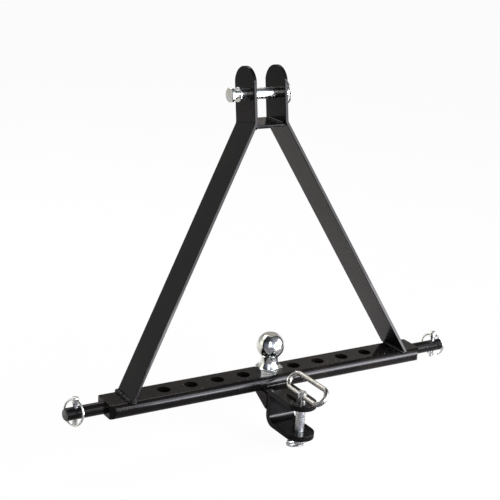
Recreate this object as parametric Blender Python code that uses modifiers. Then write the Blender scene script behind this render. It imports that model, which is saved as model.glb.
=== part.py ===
# Tractor drawbar for a three-point linkage, with a tow ball and a clevis hitch.
# Metres, +Z up. The origin is the middle of the lower link pins' common axis.
# +X runs along the beam to the right and +Y towards the tractor.

import math

import bmesh
import bpy
from mathutils import Matrix, Vector

# Beam: a flat bar whose turned ends are the lower link pins
BEAM_WIDTH = 0.0635
BEAM_THICKNESS = 0.0254
BEAM_EDGE_RADIUS = 0.0055
SHOULDER_X = 0.3302
CORNER_CUT = 0.0095
LINK_PIN_RADIUS = 0.011
LINK_PIN_LENGTH = 0.0728
LINK_PIN_CHAMFER = 0.0025
HOLE_RADIUS = 0.012
HOLE_PITCH = 0.054
HOLES_EACH_SIDE = 4
LINK_LINCH_SETBACK = 0.020

# Mast: two bent flat bars that meet in the top link's ears
MAST_LEAN = math.radians(10.0)
ARM_WIDTH = 0.0635
ARM_THICKNESS = 0.0064
ARM_BEND_RADIUS = 0.012
EAR_OUTER_X = 0.035
FOOT_INSET = 0.0382
MAST_HEIGHT = 0.548
TOP_PIN_DROP = 0.049
BEND_DROP = 0.099
TIE_THICKNESS = 0.0064
TIE_RISE = 0.0011
TIE_SETBACK = 0.003

# Top link pin
TOP_PIN_RADIUS = 0.010
TOP_PIN_PROUD = 0.023
TOP_PIN_CHAMFER = 0.002
TOP_LINCH_SETBACK = 0.0145
TOP_COLLAR_SPACE = 0.0115
TOP_COLLAR_THICKNESS = 0.0035
TOP_NECK_LENGTH = 0.0095
TOP_NECK_RADIUS = 0.0085
TOP_HEAD_RADIUS = 0.013
TOP_HEAD_THICKNESS = 0.0065

# Tow ball, with its collar, shank, lock washer and nut
BALL_RADIUS = 0.025
BALL_CENTRE_Z = 0.061
BALL_FLAT_RADIUS = 0.012
BALL_NECK_RADIUS = 0.015
COLLAR_ACROSS_FLATS = 0.0435
COLLAR_THICKNESS = 0.0085
COLLAR_TURN = math.radians(16.0)
FLARE_RADIUS = 0.0195
FLARE_HEIGHT = 0.0075
SHANK_RADIUS = 0.0111
WASHER_RADIUS = 0.0195
WASHER_THICKNESS = 0.0045
WASHER_SPLIT = 0.0025
NUT_ACROSS_FLATS = 0.0333
NUT_THICKNESS = 0.0185
NUT_TURN = math.radians(8.0)
SHANK_PROUD = 0.006
SHANK_CHAMFER = 0.0015

# Clevis hitch on the front of the beam
JAW_HALF_WIDTH = 0.027
JAW_PIN_Y = -0.109
EAR_THICKNESS = 0.010
LOWER_EAR_TOP_Z = -0.060
WEB_FRONT_Y = -0.051
WEB_BEND_RADIUS = 0.010
GUSSET_THICKNESS = 0.006
GUSSET_DEPTH = 0.030
GUSSET_TAIL_Y = 0.012
GUSSET_TAIL_DEPTH = 0.004

# Clevis pin and its swinging loop handle
CLEVIS_PIN_RADIUS = 0.0085
CLEVIS_PIN_TOP_Z = 0.0145
CLEVIS_PIN_CHAMFER = 0.0015
CLEVIS_LINCH_DROP = 0.008
CLEVIS_PIN_TAIL = 0.0075
HANDLE_ROD_RADIUS = 0.0045
HANDLE_LENGTH = 0.113
HANDLE_WIDTH = 0.040
HANDLE_LEAN = math.radians(50.0)
HANDLE_Z = 0.0065

# Linch pins: a drilled shank with a snap ring hinged in its head
SHANK_LINCH_RADIUS = 0.0045
LINCH_HEAD_RADIUS = 0.006
LINCH_HEAD_BOTTOM = 0.0165
LINCH_HEAD_TOP = 0.0295
LINCH_TIP = 0.024
RING_HINGE = 0.0235
RING_RADIUS = 0.022
RING_WIRE_RADIUS = 0.0018
LEFT_RING_TURN = math.radians(20.0)
RIGHT_RING_TURN = math.radians(28.0)
CLEVIS_RING_TURN = math.radians(15.0)

# Clearances
SEAT_GAP = 0.0003
PIN_CLEARANCE = 0.0005
HANDLE_CLEARANCE = 0.0004
RING_CLEARANCE = 0.001

# Facets of round shapes
ROUND_STEPS = 32
SMALL_STEPS = 20
CORNER_STEPS = 4
RING_STEPS = 40
WIRE_STEPS = 10
OVERSHOOT = 0.02

BEAM_TOP_Z = BEAM_THICKNESS / 2
BEAM_FRONT_Y = -BEAM_WIDTH / 2
UNDERSIDE_Z = -BEAM_THICKNESS / 2
LINK_PIN_END_X = SHOULDER_X + LINK_PIN_LENGTH
LINK_LINCH_X = LINK_PIN_END_X - LINK_LINCH_SETBACK
FOOT_OUTER_X = SHOULDER_X - FOOT_INSET
TOP_PIN_HEIGHT = MAST_HEIGHT - TOP_PIN_DROP
BEND_HEIGHT = MAST_HEIGHT - BEND_DROP
TOP_PIN_END_X = EAR_OUTER_X + TOP_PIN_PROUD
TOP_LINCH_X = TOP_PIN_END_X - TOP_LINCH_SETBACK
TOP_COLLAR_X = -EAR_OUTER_X - TOP_COLLAR_SPACE
TIE_TOP_Z = BEAM_TOP_Z + BEND_HEIGHT * math.cos(MAST_LEAN) + TIE_RISE
LOWER_EAR_BOTTOM_Z = LOWER_EAR_TOP_Z - EAR_THICKNESS
LINCH_HOLE_RADIUS = SHANK_LINCH_RADIUS + PIN_CLEARANCE


def new_collection(name):
    collection = bpy.data.collections.new(name)
    bpy.context.scene.collection.children.link(collection)
    return collection


def new_material(name, colour, roughness, metallic):
    material = bpy.data.materials.new(name)
    material.use_nodes = True
    shader = material.node_tree.nodes["Principled BSDF"]
    shader.inputs["Base Color"].default_value = (*colour, 1.0)
    shader.inputs["Roughness"].default_value = roughness
    shader.inputs["Metallic"].default_value = metallic
    return material


def painted(name):
    return new_material(name + "_paint", (0.018, 0.016, 0.017), 0.34, 0.0)


def zinc_plated(name):
    return new_material(name + "_zinc", (0.70, 0.72, 0.68), 0.27, 1.0)


def placed(origin, across, along):
    """Matrix at origin whose X runs across, whose Y runs along and whose Z is square to both."""
    x = Vector(across).normalized()
    y = Vector(along).normalized()
    matrix = Matrix((x, y, x.cross(y))).transposed().to_4x4()
    matrix.translation = Vector(origin)
    return matrix


def upright(origin):
    return Matrix.Translation(origin)


def add_object(name, mesh, matrix, parent=None):
    made = bpy.data.objects.new(name, mesh)
    parts.objects.link(made)
    made.parent = parent
    made.matrix_basis = matrix
    return made


def add_empty(name, matrix, parent=None):
    made = add_object(name, None, matrix, parent)
    made.empty_display_size = 0.03
    return made


def finish(piece, material):
    """Gives a piece its material and shades its round faces smooth."""
    piece.data.materials.append(material)
    piece.data.shade_smooth()
    piece.data.set_sharp_from_angle(angle=math.radians(35.0))
    return piece


def as_cutter(piece):
    parts.objects.unlink(piece)
    cutters.objects.link(piece)
    piece.hide_render = True
    piece.display_type = "WIRE"
    return piece


def combine(target, other, operation):
    """Joins, cuts or trims a piece with a helper, which then no longer counts as a piece."""
    modifier = target.modifiers.new(operation.title() + " " + other.name, "BOOLEAN")
    modifier.operation = operation
    modifier.object = as_cutter(other)


def arc(centre, radius, start, end, steps):
    """Points along an arc, both ends included, with angles in radians."""
    angles = [start + (end - start) * i / steps for i in range(steps + 1)]
    return [(centre[0] + radius * math.cos(a), centre[1] + radius * math.sin(a)) for a in angles]


def circle(centre, radius, steps):
    return arc(centre, radius, 0.0, 2 * math.pi, steps)[:-1]


def plate(name, outlines, thickness, matrix, parent=None):
    """A flat plate from an outline and its holes, centred on its own plane."""
    curve = bpy.data.curves.new(name, "CURVE")
    curve.dimensions = "2D"
    curve.fill_mode = "BOTH"
    curve.extrude = thickness / 2
    for outline in outlines:
        spline = curve.splines.new("POLY")
        spline.points.add(len(outline) - 1)
        for point, (x, y) in zip(spline.points, outline):
            point.co = (x, y, 0.0, 1.0)
        spline.use_cyclic_u = True
    return meshed(name, curve, matrix, parent)


def bent_rod(name, points, radius, sides, matrix, parent=None):
    """A closed loop of round rod along points that lie in its own plane."""
    curve = bpy.data.curves.new(name, "CURVE")
    curve.dimensions = "3D"
    curve.bevel_depth = radius
    curve.bevel_resolution = sides
    spline = curve.splines.new("POLY")
    spline.points.add(len(points) - 1)
    for point, (x, y) in zip(spline.points, points):
        point.co = (x, y, 0.0, 1.0)
    spline.use_cyclic_u = True
    return meshed(name, curve, matrix, parent)


def meshed(name, curve, matrix, parent):
    """The mesh of a curve, with its loose caps welded, in place of the curve."""
    guide = add_object(name + "_guide", curve, matrix, parent)
    bpy.context.view_layer.update()
    evaluated = guide.evaluated_get(bpy.context.evaluated_depsgraph_get())
    mesh = bpy.data.meshes.new_from_object(evaluated)
    mesh.name = name
    bm = bmesh.new()
    bm.from_mesh(mesh)
    bmesh.ops.remove_doubles(bm, verts=bm.verts, dist=1e-6)
    bmesh.ops.recalc_face_normals(bm, faces=bm.faces)
    bm.to_mesh(mesh)
    bm.free()
    made = add_object(name, mesh, matrix, parent)
    bpy.data.objects.remove(guide)
    return made


def turned(name, stations, matrix, parent=None, steps=ROUND_STEPS, closed=False):
    """A turned piece: (radius, height) stations run down its outer side, and Z is its axis."""
    mesh = bpy.data.meshes.new(name)
    count = len(stations)
    edges = [(i, i + 1) for i in range(count - 1)]
    if closed:
        edges.append((count - 1, 0))
    mesh.from_pydata([(radius, 0.0, height) for radius, height in stations], edges, [])
    made = add_object(name, mesh, matrix, parent)
    screw = made.modifiers.new("Turn", "SCREW")
    screw.steps = steps
    screw.render_steps = steps
    screw.use_merge_vertices = True
    screw.merge_threshold = 0.00001
    screw.use_smooth_shade = True
    return made


def rod(name, radius, top, bottom, chamfer, matrix, parent=None, steps=ROUND_STEPS):
    stations = [
        (0.0, top),
        (radius - chamfer, top),
        (radius, top - chamfer),
        (radius, bottom + chamfer),
        (radius - chamfer, bottom),
        (0.0, bottom),
    ]
    return turned(name, stations, matrix, parent, steps)


def drill(target, name, radius, length, matrix, parent=None, steps=SMALL_STEPS):
    """Cuts a round hole about the matrix's Z axis, half its length to each side."""
    half = length / 2
    stations = [(0.0, half), (radius, half), (radius, -half), (0.0, -half)]
    combine(target, turned(name, stations, matrix, parent, steps), "DIFFERENCE")


def hex_prism(name, across_flats, bottom, top, turn, chamfer, both_ends):
    """A hexagon about Z whose corners are turned off at the top, and below too for a nut."""
    corner = across_flats / math.sqrt(3.0)
    outline = arc((0.0, 0.0), corner, turn, turn + 2 * math.pi, 6)[:-1]
    middle = (top + bottom) / 2
    prism = plate(name, [outline], top - bottom, upright((0.0, 0.0, middle)))
    flat = across_flats / 2
    drop = (corner - flat) * math.tan(chamfer)
    foot = [(corner + SEAT_GAP, bottom - OVERSHOOT), (0.0, bottom - OVERSHOOT)]
    if both_ends:
        foot = [(corner + SEAT_GAP, bottom + drop), (flat, bottom), (0.0, bottom)]
    stations = [(0.0, top), (flat, top), (corner + SEAT_GAP, top - drop), *foot]
    combine(prism, turned(name + "_chamfer", stations, upright((0.0, 0.0, 0.0)), steps=48), "INTERSECT")
    return prism


def bent_strip(path, thickness, inner_radius):
    """Outline of a strip bent once: three centre points, with arcs round the middle one."""
    start, corner, end = (Vector(p) for p in path)
    before = (corner - start).normalized()
    after = (end - corner).normalized()
    bend = before.angle_signed(after)
    radius = inner_radius + thickness / 2
    setback = radius * math.tan(abs(bend) / 2)
    side = -math.copysign(1.0, bend)
    normal = Vector((-before.y, before.x)) * side
    centre = corner - before * setback + normal * radius
    first = math.atan2(-normal.y, -normal.x)
    last = first + side * abs(bend)
    inner = [start + normal * thickness / 2]
    outer = [start - normal * thickness / 2]
    inner += arc(centre, inner_radius, first, last, CORNER_STEPS)
    outer += arc(centre, inner_radius + thickness, first, last, CORNER_STEPS)
    turned_normal = Vector((-after.y, after.x)) * side
    inner.append(end + turned_normal * thickness / 2)
    outer.append(end - turned_normal * thickness / 2)
    return [tuple(p) for p in inner] + [tuple(p) for p in reversed(outer)]


# Beam

def rounded_rectangle(width, height, radius):
    x = width / 2 - radius
    y = height / 2 - radius
    points = []
    for i, centre in enumerate([(x, y), (-x, y), (-x, -y), (x, -y)]):
        points += arc(centre, radius, i * math.pi / 2, (i + 1) * math.pi / 2, CORNER_STEPS)
    return points


def make_beam():
    """Rolled flat bar with cut corners, a row of holes and a turned pin at each end."""
    profile = rounded_rectangle(BEAM_WIDTH, BEAM_THICKNESS, BEAM_EDGE_RADIUS)
    lengthwise = placed((0.0, 0.0, 0.0), (0.0, 1.0, 0.0), (0.0, 0.0, 1.0))
    beam = plate("drawbar_beam", [profile], 2 * SHOULDER_X, lengthwise)

    end = SHOULDER_X + OVERSHOOT
    wide = BEAM_WIDTH / 2 + OVERSHOOT
    cut = CORNER_CUT + 2 * OVERSHOOT
    corners = [(end, wide - cut), (end - cut, wide)]
    corners += [(-x, y) for x, y in reversed(corners)]
    corners += [(-x, -y) for x, y in corners]
    plan = plate("beam_plan", [corners], 2 * BEAM_THICKNESS, upright((0.0, 0.0, 0.0)))
    combine(beam, plan, "INTERSECT")

    pins = rod("link_pins", LINK_PIN_RADIUS, LINK_PIN_END_X, -LINK_PIN_END_X, LINK_PIN_CHAMFER, lengthwise)
    combine(beam, pins, "UNION")

    for i in range(-HOLES_EACH_SIDE, HOLES_EACH_SIDE + 1):
        place = upright((i * HOLE_PITCH, 0.0, 0.0))
        drill(beam, f"hole_{i + HOLES_EACH_SIDE + 1}", HOLE_RADIUS, 2 * BEAM_THICKNESS, place, steps=24)
    for x, side in ((-LINK_LINCH_X, "left"), (LINK_LINCH_X, "right")):
        drill(beam, side + "_linch_hole", LINCH_HOLE_RADIUS, 4 * LINK_PIN_RADIUS, upright((x, 0.0, 0.0)))
    finish(beam, painted("drawbar_beam"))


# Mast

def make_arm(name, side):
    """One bent flat bar, cut level on the beam and rounded over at the ear."""
    slope = math.atan2(FOOT_OUTER_X - EAR_OUTER_X, BEND_HEIGHT)
    half = ARM_THICKNESS / 2
    bend = (EAR_OUTER_X - half, BEND_HEIGHT - half * math.tan(slope / 2))
    leg = (BEND_HEIGHT + OVERSHOOT) / math.cos(slope)
    foot = (bend[0] + leg * math.sin(slope), bend[1] - leg * math.cos(slope))
    top = (bend[0], MAST_HEIGHT + OVERSHOOT)
    outline = [(side * x, z) for x, z in bent_strip([top, bend, foot], ARM_THICKNESS, ARM_BEND_RADIUS)]
    edge_on = placed((0.0, 0.0, 0.0), (1.0, 0.0, 0.0), (0.0, 0.0, 1.0))
    arm = plate(name, [outline], ARM_WIDTH, edge_on, mast)

    across = ARM_WIDTH / 2
    reach = across + OVERSHOOT
    front_foot = (SEAT_GAP - reach * math.sin(MAST_LEAN)) / math.cos(MAST_LEAN)
    back_foot = (SEAT_GAP + reach * math.sin(MAST_LEAN)) / math.cos(MAST_LEAN)
    shoulder = MAST_HEIGHT - across
    side_view = [(-reach, front_foot), (reach, back_foot), (reach, shoulder)]
    side_view += arc((0.0, shoulder), across, 0.0, math.pi, SMALL_STEPS)
    side_view.append((-reach, shoulder))
    from_side = placed((0.0, 0.0, 0.0), (0.0, 1.0, 0.0), (0.0, 0.0, 1.0))
    combine(arm, plate(name + "_side_view", [side_view], 2 * SHOULDER_X, from_side, mast), "INTERSECT")

    axis = placed((0.0, 0.0, TOP_PIN_HEIGHT), (0.0, 1.0, 0.0), (0.0, 0.0, 1.0))
    radius = TOP_PIN_RADIUS + PIN_CLEARANCE
    drill(arm, name + "_pin_hole", radius, 4 * EAR_OUTER_X, axis, mast, 24)
    finish(arm, painted(name))


def make_tie_plate():
    """Level plate welded between the ears where the arms bend."""
    half_width = EAR_OUTER_X - ARM_THICKNESS - SEAT_GAP
    rise = TIE_TOP_Z - BEAM_TOP_Z
    centre_y = rise * math.tan(MAST_LEAN)
    half_depth = ARM_WIDTH / 2 / math.cos(MAST_LEAN) - TIE_SETBACK
    front = centre_y - half_depth
    back = centre_y + half_depth
    outline = [(half_width, front), (half_width, back), (-half_width, back), (-half_width, front)]
    place = upright((0.0, 0.0, TIE_TOP_Z - TIE_THICKNESS / 2))
    finish(plate("tie_plate", [outline], TIE_THICKNESS, place), painted("tie_plate"))


# Top link pin

def make_top_link_pin():
    """Turned pin with a grooved head on the left and a linch hole on the right."""
    collar_end = TOP_COLLAR_X - TOP_COLLAR_THICKNESS
    head_start = collar_end - TOP_NECK_LENGTH
    head_end = head_start - TOP_HEAD_THICKNESS
    chamfer = TOP_PIN_CHAMFER
    rim = chamfer / 2
    stations = [
        (0.0, TOP_PIN_END_X),
        (TOP_PIN_RADIUS - chamfer, TOP_PIN_END_X),
        (TOP_PIN_RADIUS, TOP_PIN_END_X - chamfer),
        (TOP_PIN_RADIUS, TOP_COLLAR_X),
        (TOP_HEAD_RADIUS - rim, TOP_COLLAR_X),
        (TOP_HEAD_RADIUS, TOP_COLLAR_X - rim),
        (TOP_HEAD_RADIUS, collar_end + rim),
        (TOP_HEAD_RADIUS - rim, collar_end),
        (TOP_NECK_RADIUS, collar_end),
        (TOP_NECK_RADIUS, head_start),
        (TOP_HEAD_RADIUS - rim, head_start),
        (TOP_HEAD_RADIUS, head_start - rim),
        (TOP_HEAD_RADIUS, head_end + rim),
        (TOP_HEAD_RADIUS - rim, head_end),
        (0.0, head_end),
    ]
    pin = turned("top_link_pin", stations, Matrix.Rotation(math.pi / 2, 4, "Y"), top_axis)
    place = upright((TOP_LINCH_X, 0.0, 0.0))
    drill(pin, "top_linch_hole", LINCH_HOLE_RADIUS, 4 * TOP_PIN_RADIUS, place, top_axis)
    finish(pin, zinc_plated("top_link_pin"))


# Tow ball

def make_tow_ball():
    """Flat-topped ball on a neck that flares into a hexagonal collar, with its shank below."""
    seat = BEAM_TOP_Z + SEAT_GAP
    collar_top = seat + COLLAR_THICKNESS
    flare_top = collar_top + FLARE_HEIGHT
    first = math.acos(BALL_FLAT_RADIUS / BALL_RADIUS)
    last = -math.acos(BALL_NECK_RADIUS / BALL_RADIUS)
    shank_end = UNDERSIDE_Z - 3 * SEAT_GAP - WASHER_THICKNESS - NUT_THICKNESS - SHANK_PROUD
    stations = [(0.0, BALL_CENTRE_Z + BALL_RADIUS * math.sin(first))]
    stations += arc((0.0, BALL_CENTRE_Z), BALL_RADIUS, first, last, 16)
    stations += [
        (BALL_NECK_RADIUS, flare_top + SEAT_GAP),
        (FLARE_RADIUS, collar_top),
        (FLARE_RADIUS, seat + COLLAR_THICKNESS / 2),
        (SHANK_RADIUS, seat + COLLAR_THICKNESS / 2),
        (SHANK_RADIUS, shank_end + SHANK_CHAMFER),
        (SHANK_RADIUS - SHANK_CHAMFER, shank_end),
        (0.0, shank_end),
    ]
    ball = turned("tow_ball", stations, upright((0.0, 0.0, 0.0)))
    chamfer = math.radians(25.0)
    collar = hex_prism("ball_collar", COLLAR_ACROSS_FLATS, seat, collar_top, COLLAR_TURN, chamfer, False)
    combine(ball, collar, "UNION")
    finish(ball, zinc_plated("tow_ball"))


def make_ball_fixings():
    """Split lock washer and nut that hold the ball's shank under the beam."""
    top = UNDERSIDE_Z - SEAT_GAP
    bottom = top - WASHER_THICKNESS
    bore = SHANK_RADIUS + PIN_CLEARANCE
    section = [(WASHER_RADIUS, top), (WASHER_RADIUS, bottom), (bore, bottom), (bore, top)]
    washer = turned("ball_lock_washer", section, upright((0.0, 0.0, 0.0)), closed=True)
    outline = [(0.0, -WASHER_SPLIT / 2), (OVERSHOOT + WASHER_RADIUS, -WASHER_SPLIT / 2)]
    outline += [(x, -y) for x, y in reversed(outline)]
    split = Matrix.Rotation(math.radians(215.0), 4, "Z") @ Matrix.Rotation(math.radians(25.0), 4, "X")
    middle = Matrix.Translation((0.0, 0.0, (top + bottom) / 2))
    combine(washer, plate("washer_split", [outline], 3 * WASHER_THICKNESS, middle @ split), "DIFFERENCE")
    finish(washer, zinc_plated("ball_lock_washer"))

    nut_top = bottom - SEAT_GAP
    chamfer = math.radians(30.0)
    nut = hex_prism("ball_nut", NUT_ACROSS_FLATS, nut_top - NUT_THICKNESS, nut_top, NUT_TURN, chamfer, True)
    centre = upright((0.0, 0.0, nut_top - NUT_THICKNESS / 2))
    drill(nut, "nut_bore", SHANK_RADIUS + SEAT_GAP, 2 * NUT_THICKNESS, centre, steps=ROUND_STEPS)
    finish(nut, zinc_plated("ball_nut"))


# Clevis hitch

def jaw_outline(back):
    """Seen from above: a strip of the jaw's width with a full round end about the pin."""
    outline = [(JAW_HALF_WIDTH, back), (-JAW_HALF_WIDTH, back)]
    return outline + arc((0.0, JAW_PIN_Y), JAW_HALF_WIDTH, math.pi, 2 * math.pi, SMALL_STEPS)


def make_upper_ear():
    """Flat plate welded to the front of the beam, level with its underside."""
    hole = circle((0.0, JAW_PIN_Y), CLEVIS_PIN_RADIUS + PIN_CLEARANCE, 24)
    place = upright((0.0, 0.0, UNDERSIDE_Z + EAR_THICKNESS / 2))
    outline = jaw_outline(BEAM_FRONT_Y - SEAT_GAP)
    finish(plate("clevis_upper_ear", [outline, hole], EAR_THICKNESS, place), painted("clevis_upper_ear"))


def make_lower_bar():
    """Bar that drops from the upper ear as a web and bends forward as the lower ear."""
    web_y = WEB_FRONT_Y + EAR_THICKNESS / 2
    ear_z = LOWER_EAR_TOP_Z - EAR_THICKNESS / 2
    top = (web_y, UNDERSIDE_Z - SEAT_GAP)
    tip = (JAW_PIN_Y - JAW_HALF_WIDTH - OVERSHOOT, ear_z)
    outline = bent_strip([top, (web_y, ear_z), tip], EAR_THICKNESS, WEB_BEND_RADIUS)
    from_side = placed((0.0, 0.0, 0.0), (0.0, 1.0, 0.0), (0.0, 0.0, 1.0))
    bar = plate("clevis_lower_bar", [outline], 2 * JAW_HALF_WIDTH + OVERSHOOT, from_side)
    hole = circle((0.0, JAW_PIN_Y), CLEVIS_PIN_RADIUS + PIN_CLEARANCE, 24)
    back = WEB_FRONT_Y + EAR_THICKNESS + OVERSHOOT
    depth = -2 * LOWER_EAR_BOTTOM_Z
    plan = plate("lower_bar_plan", [jaw_outline(back), hole], 2 * depth, upright((0.0, 0.0, -depth / 2)))
    combine(bar, plan, "INTERSECT")
    finish(bar, painted("clevis_lower_bar"))


def make_gusset(name, side):
    """Tapered side plate between the back of the web and the underside of the beam."""
    web_back = WEB_FRONT_Y + EAR_THICKNESS + SEAT_GAP
    top = UNDERSIDE_Z - SEAT_GAP
    outline = [
        (web_back, top),
        (web_back, top - GUSSET_DEPTH),
        (web_back + GUSSET_TAIL_DEPTH, top - GUSSET_DEPTH),
        (GUSSET_TAIL_Y, top - GUSSET_TAIL_DEPTH),
        (GUSSET_TAIL_Y, top),
    ]
    x = side * (JAW_HALF_WIDTH - GUSSET_THICKNESS / 2)
    from_side = placed((x, 0.0, 0.0), (0.0, 1.0, 0.0), (0.0, 0.0, 1.0))
    finish(plate(name, [outline], GUSSET_THICKNESS, from_side), painted(name))


# Clevis pin and handle

def make_clevis_pin():
    """Round pin through both ears, drilled across its top for the handle and below for the linch pin."""
    linch_z = LOWER_EAR_BOTTOM_Z - CLEVIS_LINCH_DROP
    bottom = linch_z - CLEVIS_PIN_TAIL
    radius = CLEVIS_PIN_RADIUS
    no_turn = upright((0.0, 0.0, 0.0))
    pin = rod("clevis_pin", radius, CLEVIS_PIN_TOP_Z, bottom, CLEVIS_PIN_CHAMFER, no_turn, clevis_axis)
    through = placed((0.0, 0.0, HANDLE_Z), (0.0, 0.0, 1.0), (1.0, 0.0, 0.0))
    drill(pin, "handle_hole", HANDLE_ROD_RADIUS + HANDLE_CLEARANCE, 4 * radius, through, clevis_axis)
    sideways = placed((0.0, 0.0, linch_z), (0.0, 1.0, 0.0), (0.0, 0.0, 1.0))
    drill(pin, "clevis_linch_hole", LINCH_HOLE_RADIUS, 4 * radius, sideways, clevis_axis)
    finish(pin, zinc_plated("clevis_pin"))


def make_loop_handle():
    """Closed long loop of round bar, hinged on the strand that runs through the pin."""
    bend = HANDLE_WIDTH / 2 - HANDLE_ROD_RADIUS
    straight = HANDLE_LENGTH / 2 - HANDLE_ROD_RADIUS - bend
    points = arc((bend, straight), bend, 0.0, math.pi, 14)
    points += arc((bend, -straight), bend, math.pi, 2 * math.pi, 14)
    leaning = Matrix.Rotation(-HANDLE_LEAN, 4, "Y")
    handle = bent_rod("loop_handle", points, HANDLE_ROD_RADIUS, 4, leaning, handle_axis)
    finish(handle, zinc_plated("loop_handle"))


# Linch pins

def ring_rest_angle():
    """How far the snap ring leans out at rest, so that its foot lies beside the shank."""
    beside = SHANK_LINCH_RADIUS + RING_WIRE_RADIUS + SEAT_GAP
    return math.asin(beside / (2 * RING_RADIUS))


def make_linch(side, centre, head, outward, parent=None):
    """One linch pin: its shank crosses the big pin at centre, and its ring opens outward."""
    up = Vector(head)
    out = Vector(outward)
    frame = add_empty(side + "_linch_frame", placed(centre, out, up.cross(out)), parent)

    radius = SHANK_LINCH_RADIUS
    dome = arc((0.0, radius - LINCH_TIP), radius, 0.0, -math.pi / 2, CORNER_STEPS)
    cap = LINCH_HEAD_RADIUS / 2
    crown = arc((LINCH_HEAD_RADIUS - cap, LINCH_HEAD_TOP - cap), cap, math.pi / 2, 0.0, CORNER_STEPS)
    foot = arc((LINCH_HEAD_RADIUS - cap, LINCH_HEAD_BOTTOM + cap), cap, 0.0, -math.pi / 3, CORNER_STEPS)
    stations = [(0.0, LINCH_HEAD_TOP), *crown, *foot, (radius, LINCH_HEAD_BOTTOM), *dome[:-1]]
    stations.append((0.0, -LINCH_TIP))
    no_turn = upright((0.0, 0.0, 0.0))
    shank = turned(side + "_linch_pin", stations, no_turn, frame, SMALL_STEPS)
    across = placed((0.0, 0.0, RING_HINGE), (0.0, 0.0, 1.0), (1.0, 0.0, 0.0))
    hole = RING_WIRE_RADIUS + RING_CLEARANCE
    drill(shank, side + "_ring_hole", hole, 4 * LINCH_HEAD_RADIUS, across, frame, 16)
    finish(shank, zinc_plated(side + "_linch_pin"))

    bpy.ops.mesh.primitive_torus_add(
        major_radius=RING_RADIUS,
        minor_radius=RING_WIRE_RADIUS,
        major_segments=RING_STEPS,
        minor_segments=WIRE_STEPS,
    )
    ring = bpy.context.object
    ring.name = side + "_linch_ring"
    ring.data.name = ring.name
    for owner in list(ring.users_collection):
        owner.objects.unlink(ring)
    parts.objects.link(ring)
    ring.data.transform(Matrix.Translation((0.0, 0.0, -RING_RADIUS)) @ Matrix.Rotation(math.pi / 2, 4, "Y"))
    ring.parent = frame
    hinge = Matrix.Translation((0.0, 0.0, RING_HINGE))
    ring.matrix_basis = hinge @ Matrix.Rotation(-ring_rest_angle(), 4, "Y")
    finish(ring, zinc_plated(side + "_linch_ring"))


# Scene

for old in list(bpy.data.objects):
    bpy.data.objects.remove(old)

parts = new_collection("tractor_drawbar")
cutters = new_collection("cutters")

mast = add_empty("mast_frame", Matrix.Translation((0.0, 0.0, BEAM_TOP_Z)) @ Matrix.Rotation(-MAST_LEAN, 4, "X"))
top_axis = add_empty("top_pin_axis", upright((0.0, 0.0, TOP_PIN_HEIGHT)), mast)
clevis_axis = add_empty("clevis_pin_axis", upright((0.0, JAW_PIN_Y, 0.0)))
handle_axis = add_empty("handle_axis", upright((0.0, 0.0, HANDLE_Z)), clevis_axis)

make_beam()
make_arm("left_arm", -1.0)
make_arm("right_arm", 1.0)
make_tie_plate()
make_top_link_pin()
make_tow_ball()
make_ball_fixings()
make_upper_ear()
make_lower_bar()
make_gusset("clevis_gusset_left", -1.0)
make_gusset("clevis_gusset_right", 1.0)
make_clevis_pin()
make_loop_handle()

left_out = (-math.cos(LEFT_RING_TURN), -math.sin(LEFT_RING_TURN), 0.0)
right_out = (math.cos(RIGHT_RING_TURN), math.sin(RIGHT_RING_TURN), 0.0)
clevis_out = (0.0, -math.sin(CLEVIS_RING_TURN), -math.cos(CLEVIS_RING_TURN))
clevis_linch_z = LOWER_EAR_BOTTOM_Z - CLEVIS_LINCH_DROP
make_linch("left", (-LINK_LINCH_X, 0.0, 0.0), (0.0, 0.0, 1.0), left_out)
make_linch("right", (LINK_LINCH_X, 0.0, 0.0), (0.0, 0.0, 1.0), right_out)
make_linch("top", (TOP_LINCH_X, 0.0, 0.0), (0.0, 0.0, 1.0), (1.0, 0.0, 0.0), top_axis)
make_linch("clevis", (0.0, 0.0, clevis_linch_z), (1.0, 0.0, 0.0), clevis_out, clevis_axis)
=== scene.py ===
import math
import random

import bpy
from mathutils import Matrix, Vector


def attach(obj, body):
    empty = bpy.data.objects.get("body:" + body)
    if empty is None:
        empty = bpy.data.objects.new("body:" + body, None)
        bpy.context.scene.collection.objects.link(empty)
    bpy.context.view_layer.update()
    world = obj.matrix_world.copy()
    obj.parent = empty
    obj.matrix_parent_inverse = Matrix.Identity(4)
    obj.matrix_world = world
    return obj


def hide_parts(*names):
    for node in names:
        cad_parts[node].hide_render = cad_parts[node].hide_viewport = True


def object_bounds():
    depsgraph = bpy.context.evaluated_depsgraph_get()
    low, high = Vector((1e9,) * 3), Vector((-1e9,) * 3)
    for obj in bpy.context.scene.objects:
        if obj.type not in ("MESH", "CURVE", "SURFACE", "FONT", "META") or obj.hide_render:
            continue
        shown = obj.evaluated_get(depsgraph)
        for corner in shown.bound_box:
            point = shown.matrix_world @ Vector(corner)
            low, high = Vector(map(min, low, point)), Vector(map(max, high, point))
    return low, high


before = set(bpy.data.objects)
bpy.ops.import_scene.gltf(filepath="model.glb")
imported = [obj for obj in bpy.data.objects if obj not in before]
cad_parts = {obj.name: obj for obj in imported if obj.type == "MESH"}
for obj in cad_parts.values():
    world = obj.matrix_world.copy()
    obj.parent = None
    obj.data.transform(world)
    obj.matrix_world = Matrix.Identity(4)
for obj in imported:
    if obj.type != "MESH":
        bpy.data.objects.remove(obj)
cad_low, cad_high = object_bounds()
scene = bpy.context.scene
scene.view_settings.view_transform = "Standard"


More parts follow.
